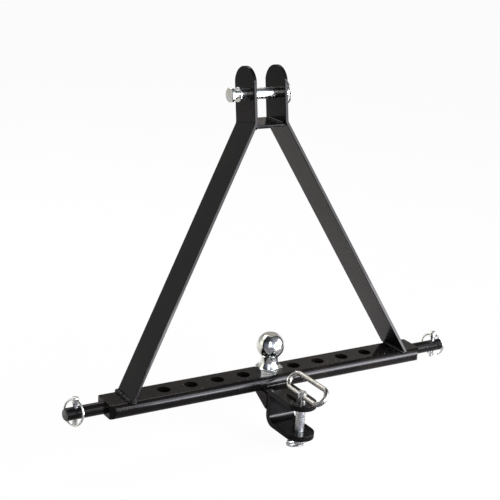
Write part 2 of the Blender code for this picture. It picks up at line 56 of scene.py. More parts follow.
# Camera. It stands in front of the drawbar and to its left, higher than the mast, and is tipped
# by four degrees. Its long lens keeps the beam's far end nearly as large as the near one.
camera_spot = Vector((-1.254243, -1.833133, 0.954036))
yaw = math.radians(33.126)
pitch = math.radians(-17.869)
roll = math.radians(3.939)
focal_pixels = 1324.773
picture_pixels = 500.0
sensor_width = 36.0
ahead = Vector((math.sin(yaw) * math.cos(pitch), math.cos(yaw) * math.cos(pitch), math.sin(pitch)))
level = Vector((math.cos(yaw), -math.sin(yaw), 0.0))
above = level.cross(ahead)
right = level * math.cos(roll) + above * math.sin(roll)
up = above * math.cos(roll) - level * math.sin(roll)
lens_data = bpy.data.cameras.new("photo_camera")
lens_data.sensor_width = sensor_width
lens_data.lens = sensor_width * focal_pixels / picture_pixels
lens_data.clip_start = 0.05
lens_data.clip_end = 50.0
camera = bpy.data.objects.new("photo_camera", lens_data)
scene.collection.objects.link(camera)
camera.matrix_world = Matrix((right, up, -ahead)).transposed().to_4x4()
camera.matrix_world.translation = camera_spot
scene.camera = camera


# Floor and room. The table just under the hitch is white to the lens, but its colour in the paint's
# reflections is painted: pale behind the beam and a painted shade before it. The room has pale walls
# behind and to the left, a dark corner to the left of the lens, windows to the right of it, and an
# unlit ceiling.
table_size = 30.0
table_gap = 0.002
shade_front = -0.15
shade_back = 0.20
plain_share = 0.95
room_strength = 1.6


def feed(tree, socket, source):
    """Links another node's output to a socket, or sets a fixed value on it."""
    if isinstance(source, bpy.types.NodeSocket):
        tree.links.new(source, socket)
    else:
        socket.default_value = source


def split(tree, source):
    """The X, Y and Z of a place or a direction."""
    node = tree.nodes.new("ShaderNodeSeparateXYZ")
    tree.links.new(source, node.inputs[0])
    return node.outputs


def add_math(tree, operation, first, second=0.0):
    """One step of arithmetic on numbers or other nodes' outputs."""
    node = tree.nodes.new("ShaderNodeMath")
    node.operation = operation
    feed(tree, node.inputs[0], first)
    feed(tree, node.inputs[1], second)
    return node.outputs[0]


def add_range(tree, source, low, high, top=1.0):
    """Stretches what lies between low and high over nought to top, and holds it there."""
    node = tree.nodes.new("ShaderNodeMapRange")
    node.inputs["From Min"].default_value = low
    node.inputs["From Max"].default_value = high
    node.inputs["To Max"].default_value = top
    tree.links.new(source, node.inputs["Value"])
    return node.outputs[0]


def add_ramp(tree, source, stops):
    """A colour ramp from (place, colour) stops."""
    ramp = tree.nodes.new("ShaderNodeValToRGB")
    ramp.color_ramp.elements[0].position = stops[0][0]
    ramp.color_ramp.elements[0].color = (*stops[0][1], 1.0)
    ramp.color_ramp.elements[1].position = stops[-1][0]
    ramp.color_ramp.elements[1].color = (*stops[-1][1], 1.0)
    for spot, colour in stops[1:-1]:
        ramp.color_ramp.elements.new(spot).color = (*colour, 1.0)
    tree.links.new(source, ramp.inputs[0])
    return ramp.outputs[0]


def add_mix(tree, share, first, second, blend="MIX"):
    """Two colours mixed by a share, or blended in another way."""
    node = tree.nodes.new("ShaderNodeMix")
    node.data_type = "RGBA"
    node.blend_type = blend
    for name, source in (("Factor", share), ("A", first), ("B", second)):
        feed(tree, node.inputs[name], source)
    return node.outputs["Result"]


def add_surface(tree, share, first, second, output):
    """Mixes two shaders by a share and makes the result the surface."""
    mix = tree.nodes.new("ShaderNodeMixShader")
    for socket, source in zip(mix.inputs, (share, first.outputs[0], second.outputs[0])):
        tree.links.new(source, socket)
    tree.links.new(mix.outputs[0], tree.nodes.new(output).inputs["Surface"])


bpy.ops.object.select_all(action="DESELECT")
bpy.ops.mesh.primitive_plane_add(size=table_size, location=(0.0, 0.0, cad_low.z - table_gap))
table = bpy.context.object
table.name = "white_table"
table_white = bpy.data.materials.new("table_white")
table_white.use_nodes = True
table_tree = table_white.node_tree
table_tree.nodes.clear()
table_seen = table_tree.nodes.new("ShaderNodeLightPath").outputs["Is Camera Ray"]
table_place = split(table_tree, table_tree.nodes.new("ShaderNodeTexCoord").outputs["Object"])
# Painted shade: for all rays but the lens's, the table's colour darkens from pale behind the beam to
# dark before it.
table_back = add_range(table_tree, table_place["Y"], shade_front, shade_back)
table_shade = add_ramp(table_tree, table_back, [
    (0.0, (0.20, 0.19, 0.20)), (1.0, (0.95, 0.91, 0.88)),
])
table_matt = table_tree.nodes.new("ShaderNodeBsdfDiffuse")
table_tone = add_mix(table_tree, table_seen, table_shade, (0.95, 0.95, 0.95, 1.0))
table_tree.links.new(table_tone, table_matt.inputs["Color"])
table_plain = table_tree.nodes.new("ShaderNodeEmission")
table_plain.inputs["Color"].default_value = (1.0, 1.0, 1.0, 1.0)
table_share = add_math(table_tree, "MULTIPLY", table_seen, plain_share)
add_surface(table_tree, table_share, table_matt, table_plain, "ShaderNodeOutputMaterial")
table.data.materials.append(table_white)

room = bpy.data.worlds.new("white_room")
scene.world = room
room.use_nodes = True
room_tree = room.node_tree
room_tree.nodes.clear()
room_place = split(room_tree, room_tree.nodes.new("ShaderNodeTexCoord").outputs["Generated"])
room_round = add_math(room_tree, "ARCTAN2", room_place["Y"], room_place["X"])
room_turn = add_range(room_tree, room_round, -math.pi, math.pi)
room_walls = add_ramp(room_tree, room_turn, [
    (0.00, (0.08, 0.09, 0.12)), (0.09, (0.10, 0.11, 0.15)), (0.13, (0.60, 0.63, 0.68)),
    (0.19, (0.40, 0.43, 0.50)), (0.27, (1.00, 1.04, 1.14)), (0.40, (0.95, 1.00, 1.10)),
    (0.46, (0.55, 0.57, 0.60)), (0.60, (0.46, 0.44, 0.43)), (0.645, (0.31, 0.29, 0.27)),
    (0.69, (0.19, 0.17, 0.16)), (0.76, (0.26, 0.26, 0.25)), (0.85, (0.33, 0.33, 0.33)),
    (0.89, (0.84, 0.86, 0.80)), (0.95, (0.90, 0.92, 0.84)), (0.985, (0.10, 0.11, 0.14)),
    (1.00, (0.08, 0.09, 0.12)),
])
room_fall = add_ramp(room_tree, room_place["Z"], [
    (0.00, (1.0, 1.0, 1.0)), (0.36, (0.9, 0.9, 0.9)), (0.62, (0.24, 0.24, 0.24)),
    (1.00, (0.10, 0.10, 0.10)),
])
room_tone = add_mix(room_tree, 1.0, room_walls, room_fall, "MULTIPLY")
room_light = room_tree.nodes.new("ShaderNodeBackground")
room_light.inputs["Strength"].default_value = room_strength
room_tree.links.new(room_tone, room_light.inputs["Color"])
room_plain = room_tree.nodes.new("ShaderNodeBackground")
room_plain.inputs["Strength"].default_value = 1.0
room_seen = room_tree.nodes.new("ShaderNodeLightPath").outputs["Is Camera Ray"]
add_surface(room_tree, room_seen, room_light, room_plain, "ShaderNodeOutputWorld")


# Lights. Three tall windows: two stand to the right of the lens and light the ball and the front
# edges, and one is behind the lens. A low soft box stands on the table in front, out of the
# picture, and lights the beam's face. A wide one hangs over the table behind the mast.
for name, place, aim, size, power, tint in (
    ("window_right", (1.36, -2.10, 0.86), (0.0, 0.0, 0.86), (1.10, 1.74), 52.0, (0.92, 0.93, 1.0)),
    ("window_far_right", (2.25, -0.95, 1.05), (0.0, 0.0, 0.10), (0.70, 1.60), 14.0, (0.96, 0.97, 1.0)),
    ("window_behind", (-1.50, -2.40, 1.70), (0.0, 0.0, 0.10), (0.85, 2.00), 34.0, (1.0, 0.99, 0.98)),
    ("low_box_right", (0.34, -0.55, 0.03), (0.0, -0.03, 0.03), (0.62, 0.20), 7.0, (0.93, 0.93, 1.0)),
    ("soft_box_back", (-0.30, 1.30, 1.50), (-0.30, 1.10, 0.00), (2.4, 0.8), 19.0, (1.0, 0.97, 0.94)),
):
    lamp = bpy.data.lights.new(name, "AREA")
    lamp.shape = "RECTANGLE"
    lamp.size, lamp.size_y = size
    lamp.energy = power
    lamp.color = tint
    stand = bpy.data.objects.new(name, lamp)
    scene.collection.objects.link(stand)
    stand.location = place
    stand.rotation_euler = (Vector(aim) - Vector(place)).to_track_quat("-Z", "Y").to_euler()


# Beam. Hot rolled flat bar, 63.5 by 25.4 mm with rolled edges, sawn corners and nine punched
# holes. Its ends are turned down to the 22 mm round pins that the lower links slide over. The
# whole frame is sprayed in black enamel, which is thin on edges and a little dusty on top.
beam_length = 0.6604
beam_width = 0.0635
beam_thick = 0.0254
beam_top = beam_thick / 2
edge_rise = 0.0120
edge_run = 0.0090
corner_cut = 0.0095
hole_radius = 0.012
hole_pitch = 0.054
link_pin_radius = 0.011
link_pin_length = 0.0928
link_pin_end = 0.4030
link_pin_chamfer = 0.0025
link_linch_x = 0.383
linch_hole = 0.005
along_x = (0.0, math.pi / 2, 0.0)
scuff_start = 0.4002
scuff_end = 0.4024
black_enamel = bpy.data.materials.new("black_enamel")
black_enamel.use_nodes = True
coat_tree = black_enamel.node_tree
coat = coat_tree.nodes["Principled BSDF"]
coat_place = coat_tree.nodes.new("ShaderNodeTexCoord").outputs["Object"]
coat_shape = coat_tree.nodes.new("ShaderNodeNewGeometry").outputs


def add_noise(tree, place, scale, detail, rough=0.5):
    """A noise texture on the piece's own coordinates, in metres."""
    noise = tree.nodes.new("ShaderNodeTexNoise")
    noise.inputs["Scale"].default_value = scale
    noise.inputs["Detail"].default_value = detail
    noise.inputs["Roughness"].default_value = rough
    tree.links.new(place, noise.inputs["Vector"])
    return noise.outputs["Fac"]


def add_bump(tree, height, strength, distance, under=None):
    """Fine relief of a given height, over the relief of another bump."""
    bump = tree.nodes.new("ShaderNodeBump")
    bump.inputs["Strength"].default_value = strength
    bump.inputs["Distance"].default_value = distance
    tree.links.new(height, bump.inputs["Height"])
    if under is not None:
        tree.links.new(under, bump.inputs["Normal"])
    return bump.outputs[0]


# The enamel's black varies a little, and pale dust lies on what faces up.
coat_tone = add_ramp(coat_tree, add_noise(coat_tree, coat_place, 14.0, 6.0), [
    (0.30, (0.0036, 0.0034, 0.0036)), (0.55, (0.0058, 0.0050, 0.0048)),
    (0.75, (0.0105, 0.0086, 0.0074)),
])
coat_speck = add_ramp(coat_tree, add_noise(coat_tree, coat_place, 900.0, 3.0, 0.7), [
    (0.66, (0.0, 0.0, 0.0)), (0.74, (1.0, 1.0, 1.0)),
])
coat_upward = add_range(coat_tree, split(coat_tree, coat_shape["Normal"])["Z"], 0.4, 1.0, 0.16)
coat_dusty = add_math(coat_tree, "MULTIPLY", coat_speck, coat_upward)
coat_colour = add_mix(coat_tree, coat_dusty, coat_tone, (0.20, 0.18, 0.16, 1.0))

# Chips along the sharpest edges show the grey steel.
coat_edge = add_ramp(coat_tree, coat_shape["Pointiness"], [
    (0.56, (0.0, 0.0, 0.0)), (0.66, (1.0, 1.0, 1.0)),
])
coat_chip = add_ramp(coat_tree, add_noise(coat_tree, coat_place, 160.0, 5.0, 0.65), [
    (0.60, (0.0, 0.0, 0.0)), (0.66, (1.0, 1.0, 1.0)),
])
coat_worn = add_math(coat_tree, "MULTIPLY", coat_edge, coat_chip)
coat_colour = add_mix(coat_tree, coat_worn, coat_colour, (0.30, 0.29, 0.30, 1.0))

# The very ends of the lower link pins are scuffed down to steel.
coat_patch = add_noise(coat_tree, coat_place, 45.0, 4.0)
coat_reach = add_math(coat_tree, "ABSOLUTE", split(coat_tree, coat_place)["X"])
coat_far = add_range(coat_tree, coat_reach, scuff_start, scuff_end)
coat_scuff = add_ramp(coat_tree, coat_patch, [
    (0.40, (0.15, 0.15, 0.15)), (0.58, (1.0, 1.0, 1.0)),
])
coat_rubbed = add_math(coat_tree, "MULTIPLY", coat_far, coat_scuff)
coat_colour = add_mix(coat_tree, coat_rubbed, coat_colour, (0.17, 0.18, 0.16, 1.0))
coat_tree.links.new(coat_colour, coat.inputs["Base Color"])

# The gloss is uneven, over mill scale and a fine orange peel.
coat_sheen = add_ramp(coat_tree, coat_patch, [
    (0.30, (0.11, 0.11, 0.11)), (0.70, (0.21, 0.21, 0.21)),
])
coat_tree.links.new(coat_sheen, coat.inputs["Roughness"])
coat.inputs["IOR"].default_value = 1.40
coat.inputs["Specular IOR Level"].default_value = 0.24
coat_scale = add_bump(coat_tree, add_noise(coat_tree, coat_place, 70.0, 5.0, 0.6), 0.12, 0.0004)
coat_peel = add_noise(coat_tree, coat_place, 420.0, 3.0, 0.55)
coat_skin = add_bump(coat_tree, coat_peel, 0.06, 0.0002, coat_scale)
coat_tree.links.new(coat_skin, coat.inputs["Normal"])


def choose(piece):
    """Makes the piece the only one selected."""
    bpy.ops.object.select_all(action="DESELECT")
    piece.select_set(True)
    bpy.context.view_layer.objects.active = piece


def move(piece, place):
    """Moves the piece and writes its new place into its mesh."""
    choose(piece)
    piece.matrix_world = place
    bpy.ops.object.transform_apply(location=True, rotation=True, scale=True)


def begin(name):
    """Names the primitive that was just added and makes it the only one selected."""
    piece = bpy.context.object
    piece.name = name
    piece.data.name = name
    choose(piece)
    bpy.ops.object.transform_apply(location=True, rotation=True, scale=True)
    return piece


def pick(piece, kind, test):
    """In edit mode, selects the faces, edges or corners whose place and direction pass."""
    bpy.ops.object.mode_set(mode="EDIT")
    bpy.ops.mesh.select_mode(type=kind)
    bpy.ops.mesh.select_all(action="DESELECT")
    bpy.ops.object.mode_set(mode="OBJECT")
    mesh = piece.data
    if kind == "FACE":
        for face in mesh.polygons:
            face.select = test(face.center, face.normal)
    elif kind == "EDGE":
        for edge in mesh.edges:
            a, b = (mesh.vertices[i].co for i in edge.vertices)
            edge.select = test((a + b) / 2, (b - a).normalized())
    else:
        for corner in mesh.vertices:
            corner.select = test(corner.co, corner.normal)
    bpy.ops.object.mode_set(mode="EDIT")


def take_all(piece, kind="FACE"):
    """In edit mode, selects the whole piece."""
    choose(piece)
    bpy.ops.object.mode_set(mode="EDIT")
    bpy.ops.mesh.select_mode(type=kind)
    bpy.ops.mesh.select_all(action="SELECT")


def work(piece, kind, **settings):
    """Adds a modifier to the piece and applies it."""
    modifier = piece.modifiers.new(kind.title(), kind)
    for setting, value in settings.items():
        setattr(modifier, setting, value)
    bpy.context.view_layer.objects.active = piece
    bpy.ops.object.modifier_apply(modifier=modifier.name)


def face_outwards(piece):
    """Turns every face of a closed piece outwards."""
    take_all(piece)
    bpy.ops.mesh.normals_make_consistent(inside=False)
    bpy.ops.object.mode_set(mode="OBJECT")


def saw(spot, outward):
    """Saws off what lies beyond a plane through the spot, and closes the cut."""
    bpy.ops.mesh.bisect(plane_co=spot, plane_no=outward, use_fill=True, clear_outer=True)


def cut(piece, tool, operation="DIFFERENCE"):
    """Drills, trims or joins the piece with a tool, which is then thrown away."""
    face_outwards(tool)
    face_outwards(piece)
    work(piece, "BOOLEAN", operation=operation, object=tool, solver="EXACT")
    bpy.data.objects.remove(tool)


def drill(piece, radius, depth, spot, turned=(0.0, 0.0, 0.0), vertices=64):
    """Drills a round hole. The drill stands upright unless it is turned."""
    bpy.ops.mesh.primitive_cylinder_add(
        vertices=vertices, radius=radius, depth=depth, location=spot, rotation=turned
    )
    cut(piece, begin("drill"))


def ease(piece, width, angle=40.0, segments=2):
    """Breaks the sharp edges."""
    work(piece, "BEVEL", width=width, segments=segments, limit_method="ANGLE",
         angle_limit=math.radians(angle), use_clamp_overlap=True, harden_normals=False)


def settle(piece, body, finish, replaced=(), place=Matrix.Identity(4), smooth=32.0):
    """Puts a finished piece in its place, shades it, and gives it its finish and its body."""
    move(piece, place)
    face_outwards(piece)
    bpy.ops.object.shade_smooth_by_angle(angle=math.radians(smooth))
    work(piece, "WEIGHTED_NORMAL", keep_sharp=True)
    piece.data.materials.clear()
    piece.data.materials.append(finish)
    if replaced:
        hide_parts(*replaced)
    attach(piece, body)


# The edges are rounded further down than in, so they are cut on a wider bar that is squeezed.
stretch = edge_rise / edge_run
bpy.ops.mesh.primitive_cube_add(size=1.0, scale=(beam_length, beam_width * stretch, beam_thick))
beam = begin("beam_bar")
pick(beam, "EDGE", lambda middle, along: abs(along.x) > 0.9)
bpy.ops.mesh.bevel(offset=edge_rise, segments=14, affect="EDGES")
bpy.ops.mesh.select_all(action="SELECT")
bpy.ops.transform.resize(value=(1.0, 1.0 / stretch, 1.0))
for end in (-1.0, 1.0):
    for edge in (-1.0, 1.0):
        bpy.ops.mesh.select_all(action="SELECT")
        corner = (end * (beam_length - corner_cut) / 2, edge * (beam_width - corner_cut) / 2, 0.0)
        saw(corner, (end, edge, 0.0))
bpy.ops.object.mode_set(mode="OBJECT")
for end in (-1.0, 1.0):
    bpy.ops.mesh.primitive_cylinder_add(
        vertices=64, radius=link_pin_radius, depth=link_pin_length,
        location=(end * (link_pin_end - link_pin_length / 2), 0.0, 0.0), rotation=along_x,
    )
    stub = begin("link_pin")
    pick(stub, "EDGE", lambda middle, along: (
        end * middle.x > link_pin_end - 0.0001 and abs(along.x) < 0.1
    ))
    bpy.ops.mesh.bevel(offset=link_pin_chamfer, segments=1, affect="EDGES")
    bpy.ops.object.mode_set(mode="OBJECT")
    cut(beam, stub, "UNION")
for i in range(-4, 5):
    drill(beam, radius=hole_radius, depth=0.08, spot=(i * hole_pitch, 0.0, 0.0))
for end in (-1.0, 1.0):
    drill(beam, radius=linch_hole, depth=0.08, spot=(end * link_linch_x, 0.0, 0.0))
ease(beam, 0.0007)
settle(beam, "frame", black_enamel, ["drawbar_beam"])


# Arms of the mast. Two 63.5 by 6.4 mm flat bars rise from the beam towards each other, straighten
# at the tie plate and run up side by side as ears. Their tops are cut round and drilled for the
# top pin, their feet are cut level on the beam, and the mast leans ten degrees to the tractor.
mast_lean = math.radians(-10.0)
mast_height = 0.548
arm_thick = 0.0064
arm_edge = 0.0012
ear_face = 0.035
ear_hole = 0.0105
foot_reach = 0.292
foot_spare = 0.02
foot_gap = 0.0003
bar_end = 0.560
bend_height = 0.449
bend_inside = 0.012
bend_radius = bend_inside + arm_thick / 2
top_pin_height = 0.499
outline_width = 0.9
outline_drop = 0.62
splay = math.atan2(foot_reach - ear_face, bend_height)
mast_place = Matrix.Translation((0.0, 0.0, beam_top)) @ Matrix.Rotation(mast_lean, 4, "X")
round_height = mast_height - beam_width / 2


def pull(step):
    """Extrudes what is selected by a step."""
    bpy.ops.mesh.extrude_region_move(TRANSFORM_OT_translate={"value": step})


for side, name in ((-1.0, "left_arm"), (1.0, "right_arm")):
    middle_x = side * (ear_face - arm_thick / 2)
    bend_z = bend_height - arm_thick / 2 * math.tan(splay / 2)
    bend_top = bend_z + bend_radius * math.tan(splay / 2)
    leg = (bend_z + foot_spare) / math.cos(splay)
    bar_top = (middle_x, 0.0, bar_end)
    bpy.ops.mesh.primitive_plane_add(size=1.0, location=bar_top)
    arm = begin(name + "_bar")
    take_all(arm)
    bpy.ops.transform.resize(value=(arm_thick, beam_width, 1.0), center_override=bar_top)
    bpy.ops.mesh.bevel(offset=arm_edge, segments=3, affect="VERTICES")
    bpy.ops.mesh.select_all(action="SELECT")
    pull((0.0, 0.0, bend_top - bar_end))
    bend_centre = (middle_x + side * bend_radius, 0.0, bend_top)
    bpy.ops.mesh.spin(steps=8, angle=splay, axis=(0.0, side, 0.0), center=bend_centre)
    pull((side * leg * math.sin(splay), 0.0, -leg * math.cos(splay)))
    bpy.ops.object.mode_set(mode="OBJECT")

    bpy.ops.mesh.primitive_cylinder_add(
        vertices=96, radius=beam_width / 2, depth=outline_width,
        location=(0.0, 0.0, round_height), rotation=along_x,
    )
    ear_outline = begin("ear_outline")
    pick(ear_outline, "VERT", lambda corner, normal: corner.z < round_height - 0.0001)
    bpy.ops.transform.translate(value=(0.0, 0.0, -outline_drop))
    bpy.ops.object.mode_set(mode="OBJECT")
    cut(arm, ear_outline, "INTERSECT")
    drill(arm, radius=ear_hole, depth=0.2, spot=(0.0, 0.0, top_pin_height), turned=along_x)
    move(arm, mast_place)
    take_all(arm)
    saw((0.0, 0.0, beam_top + foot_gap), (0.0, 0.0, -1.0))
    bpy.ops.object.mode_set(mode="OBJECT")
    ease(arm, 0.0006)
    settle(arm, "frame", black_enamel, [name])


# Tie plate. A short piece of the same 6.4 mm bar welded level between the two ears, just above
# the bends, so that the mast can't spread.
tie_middle = (0.0, 0.0782, 0.4528)
tie_size = (0.0566, 0.0585, arm_thick)
bpy.ops.mesh.primitive_cube_add(size=1.0, location=tie_middle, scale=tie_size)
tie = begin("tie_plate_bar")
pick(tie, "EDGE", lambda middle, along: abs(along.x) > 0.9)
bpy.ops.mesh.bevel(offset=arm_edge, segments=3, affect="EDGES")
bpy.ops.object.mode_set(mode="OBJECT")
settle(tie, "frame", black_enamel, ["tie_plate"])


# Weld seams. Every joint of the frame is a hand-laid seam of steel wire with a ripple for each
# dab of the torch, left as laid and painted over with the rest. Spatter lies round the feet.
dab = 0.0016
seam_end = 0.55
foot_out = 0.2921
foot_in = foot_out - arm_thick / math.cos(splay)
foot_seams = (
    ("outside", (foot_out + 0.0008, -0.0295), (foot_out + 0.0008, 0.0300), 0.0005, 0.0046),
    ("inside", (foot_in - 0.0004, -0.0290), (foot_in - 0.0004, 0.0300), 0.0004, 0.0033),
    ("front", (foot_in - 0.0010, -0.0282), (foot_out + 0.0012, -0.0282), -0.0012, 0.0040),
    ("back", (foot_in - 0.0010, 0.0284), (foot_out + 0.0012, 0.0284), -0.0010, 0.0044),
)
tie_seam_x = 0.0280
tie_seam_radius = 0.0022
tie_seams = (("top", 0.0525, 0.1035, 0.4564), ("under", 0.0525 - 0.0013, 0.1035 - 0.0013, 0.4492))
spatter_radius = 0.0009
spatter_drops = 13
spatter_turn = 7


def lay_seam(name, start, stop, radius):
    """A rippled bead along a straight joint, half sunk in the corner, and thin at both ends."""
    dice = random.Random(name)
    start, stop = Vector(start), Vector(stop)
    count = max(2, round((stop - start).length / dab))
    path = [start.lerp(stop, i / count) for i in range(count)] + [stop]
    bpy.ops.mesh.primitive_circle_add(
        vertices=12, radius=radius * seam_end, fill_type="NGON", location=start,
        rotation=(path[1] - start).normalized().to_track_quat("Z", "Y").to_euler(),
    )
    seam = begin(name)
    take_all(seam)
    size = seam_end
    for i, (here, there) in enumerate(zip(path, path[1:])):
        tail = 0.8 if i > count - 3 else 1.0
        wanted = seam_end if i == count - 1 else tail * dice.uniform(0.92, 1.06)
        if i % 2:
            wanted *= 0.90
        drift = Vector([dice.uniform(-1, 1) for _ in range(3)]) * radius * 0.05
        pull(there - here + drift)
        bpy.ops.transform.resize(value=(wanted / size,) * 3)
        bpy.ops.transform.translate(value=-drift)
        size = wanted
    bpy.ops.object.mode_set(mode="OBJECT")
    work(seam, "SUBSURF", levels=1, render_levels=1)
    settle(seam, "frame", black_enamel, smooth=70.0)


for side, hand in ((-1.0, "left"), (1.0, "right")):
    for stem, (x1, y1), (x2, y2), rise, radius in foot_seams:
        z = beam_top + rise
        lay_seam(hand + "_foot_seam_" + stem, (side * x1, y1, z), (side * x2, y2, z), radius)
    for stem, y1, y2, z in tie_seams:
        x = side * tie_seam_x
        lay_seam(hand + "_tie_seam_" + stem, (x, y1, z), (x, y2, z), tie_seam_radius)

# Each drop of spatter lies a step from the last: first outside the foot, and then inside it.
spatter_dice = random.Random(7)
for side, hand in ((-1.0, "left"), (1.0, "right")):
    bpy.ops.mesh.primitive_ico_sphere_add(
        subdivisions=2, radius=spatter_radius, location=(side * 0.2965, -0.018, beam_top)
    )
    spatter = begin(hand + "_foot_spatter")
    take_all(spatter)
    for i in range(spatter_drops):
        step = (
            side * spatter_dice.uniform(-0.004, 0.0055), spatter_dice.uniform(0.0005, 0.0060), 0.0
        )
        if i == spatter_turn:
            step = (-side * 0.022, -0.020, 0.0)
        bpy.ops.mesh.duplicate_move(TRANSFORM_OT_translate={"value": step})
    bpy.ops.object.mode_set(mode="OBJECT")
    settle(spatter, "frame", black_enamel, smooth=80.0)


# Top link pin. A 20 mm pin turned from bright bar, with a collar that stops it at the left ear,
# a groove and a head to pull it by, and a hole for its linch pin. It is zinc plated, which
# leaves it bright silver with a faint green and yellow tint and darker patches and stains.
top_linch_x = 0.0435
plated_steel = bpy.data.materials.new("plated_steel")
plated_steel.use_nodes = True
plate_tree = plated_steel.node_tree
plate = plate_tree.nodes["Principled BSDF"]
plate.inputs["Metallic"].default_value = 1.0
plate_place = plate_tree.nodes.new("ShaderNodeTexCoord").outputs["Object"]
plate_tone = add_ramp(plate_tree, add_noise(plate_tree, plate_place, 55.0, 4.0), [
    (0.30, (0.74, 0.79, 0.81)), (0.48, (0.84, 0.86, 0.86)), (0.62, (0.82, 0.84, 0.75)),
    (0.76, (0.84, 0.85, 0.86)),
])
plate_tone.node.name = "plating_tone"
plate_stain = add_ramp(plate_tree, add_noise(plate_tree, plate_place, 380.0, 4.0, 0.6), [
    (0.26, (0.86, 0.86, 0.86)), (0.42, (1.0, 1.0, 1.0)),
])
plate_colour = add_mix(plate_tree, 1.0, plate_tone, plate_stain, "MULTIPLY")
plate_tree.links.new(plate_colour, plate.inputs["Base Color"])
plate_gloss = add_ramp(plate_tree, add_noise(plate_tree, plate_place, 120.0, 5.0), [
    (0.32, (0.22, 0.22, 0.22)), (0.68, (0.34, 0.34, 0.34)),
])
plate_gloss.node.name = "plating_gloss"
plate_tree.links.new(plate_gloss, plate.inputs["Roughness"])
plate_rub = add_noise(plate_tree, plate_place, 650.0, 3.0, 0.6)
plate_tree.links.new(add_bump(plate_tree, plate_rub, 0.02, 0.0002), plate.inputs["Normal"])


def turn(name, stations, vertices=64):
    """Turns a piece about Z: each station is (radius, height), and both ends are flat."""
    radius, height = stations[0]
    bpy.ops.mesh.primitive_circle_add(
        vertices=vertices, radius=radius, fill_type="NGON", location=(0.0, 0.0, height)
    )
    piece = begin(name)
    take_all(piece)
    for next_radius, next_height in stations[1:]:
        pull((0.0, 0.0, next_height - height))
        share = next_radius / radius
        centre = (0.0, 0.0, next_height)
        bpy.ops.transform.resize(value=(share, share, 1.0), center_override=centre)
        radius, height = next_radius, next_height
    bpy.ops.object.mode_set(mode="OBJECT")
    return piece


top_place = mast_place @ Matrix.Translation((0.0, 0.0, top_pin_height))
top_pin = turn("top_pin_bar", [
    (0.0080, 0.0580), (0.0100, 0.0560), (0.0100, -0.0465),
    (0.0124, -0.0465), (0.0130, -0.0471), (0.0130, -0.0494), (0.0124, -0.0500),
    (0.0085, -0.0500), (0.0085, -0.0595),
    (0.0124, -0.0595), (0.0130, -0.0601), (0.0130, -0.0652), (0.0122, -0.0660),
])
move(top_pin, Matrix.Rotation(math.pi / 2, 4, "Y"))
drill(top_pin, radius=linch_hole, depth=0.06, spot=(top_linch_x, 0.0, 0.0), vertices=48)
ease(top_pin, 0.0003, angle=30.0)
settle(top_pin, "top_pin", plated_steel, ["top_link_pin"], top_place)


# Tow ball. A 50 mm ball with a flat crown, forged with its neck and hexagonal collar and bolted
# through the middle hole of the beam by its threaded shank. The ball is ground and plated bright.
ball_radius = 0.025
ball_height = 0.061
crown_radius = 0.012
neck_radius = 0.015
neck_top = 0.0405
neck_length = 0.0190
neck_flare = 0.0043
ball_plate = plated_steel.copy()
ball_plate.name = "ball_plate"
ball_gloss = ball_plate.node_tree.nodes["plating_gloss"].color_ramp.elements
for stop, grey in zip(ball_gloss, (0.09, 0.17)):
    stop.color = (grey, grey, grey, 1.0)

crown = math.acos(crown_radius / ball_radius)
throat = -math.acos(neck_radius / ball_radius)
crown_height = ball_height + ball_radius * math.sin(crown)
ball_shape = [(0.0113, crown_height), (0.0119, crown_height - 0.0001)]
for i in range(41):
    a = crown - 0.03 + (throat - crown + 0.06) * i / 40
    ball_shape.append((ball_radius * math.cos(a), ball_height + ball_radius * math.sin(a)))
for share in (i / 12 for i in range(13)):
    radius = 0.0152 - 0.0003 * math.sin(share * math.pi) + neck_flare * share ** 2.6
    ball_shape.append((radius, neck_top - neck_length * share))
ball_shape += [(0.0195, 0.0215), (0.0195, 0.0170), (0.0110, 0.0170), (0.0110, -0.0360)]
ball_shape += [(0.0100, -0.0370), (0.0100, -0.0420), (0.0094, -0.0426)]
ball = turn("ball_and_shank", ball_shape, 96)
settle(ball, "frame", ball_plate, ["tow_ball"], smooth=40.0)


def hexagon(name, across, bottom, top, turned, chamfer, both_ends):
    """A hexagon with its corners turned off at the top, and at the bottom too for a nut."""
    corner = across / math.sqrt(3.0)
    bpy.ops.mesh.primitive_cylinder_add(
        vertices=6, radius=corner, depth=top - bottom, location=(0.0, 0.0, (top + bottom) / 2),
        rotation=(0.0, 0.0, math.radians(turned - 30.0)),
    )
    piece = begin(name)
    drop = (corner - across / 2) * math.tan(math.radians(chamfer))
    wide = corner + 0.0003
    stations = [(across / 2, top), (wide, top - drop), (wide, bottom - 0.001)]
    if both_ends:
        stations[2:] = [(wide, bottom + drop), (across / 2, bottom)]
    cut(piece, turn(name + "_turning", stations, 96), "INTERSECT")
    return piece


collar = hexagon(
    "ball_collar", across=0.0435, bottom=0.0130, top=0.0215, turned=24.0, chamfer=25.0,
    both_ends=False,
)
ease(collar, 0.0005)
settle(collar, "frame", ball_plate, ["tow_ball"])


# Nut and lock washer under the beam, and the thread that shows below the nut. Plated like the
# pins. The washer is a split ring of square wire, sprung flat by the nut.
nut_bore = 0.0114
thread_pitch = 0.0020
thread_turns = 3
nut = hexagon(
    "ball_nut_body", across=0.0333, bottom=-0.0363, top=-0.0178, turned=8.0, chamfer=30.0,
    both_ends=True,
)
drill(nut, radius=nut_bore, depth=0.06, spot=(0.0, 0.0, -0.027))
ease(nut, 0.0004)
settle(nut, "frame", plated_steel, ["ball_nut"])

